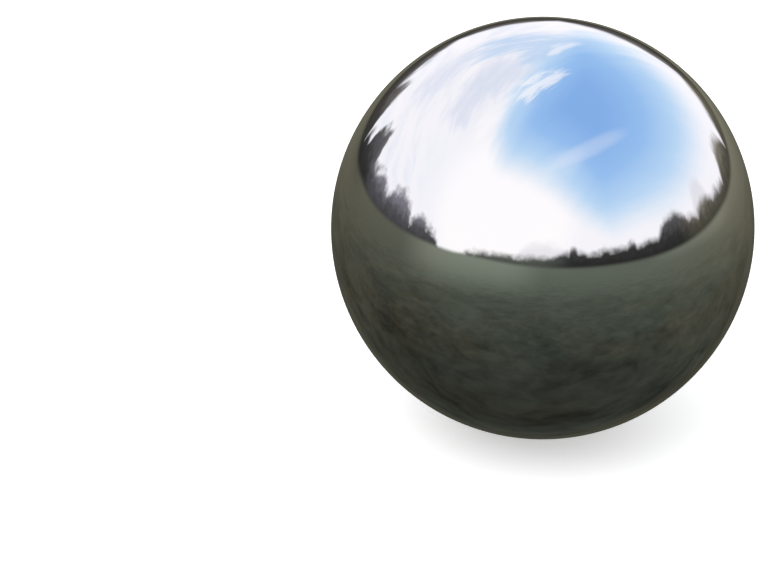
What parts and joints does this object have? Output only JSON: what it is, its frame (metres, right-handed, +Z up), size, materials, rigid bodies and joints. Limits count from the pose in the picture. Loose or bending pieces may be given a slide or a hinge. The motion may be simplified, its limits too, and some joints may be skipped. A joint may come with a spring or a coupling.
{
  "type": "steel ball",
  "caption": "Solid steel ball with a mirror polish: a plain true sphere that rolls, or sits in a cup, ring or socket.",
  "frame": {"origin": "the centre of the ball", "axes": "+Z up; the ball is the same about every axis, so X and Y are free"},
  "size_m": [0.0254, 0.0254, 0.0254],
  "materials": {
    "polished_steel": "mirror polish"
  },
  "bodies": {
    "root": {"steel_ball": "polished_steel"}
  },
  "joints": []
}
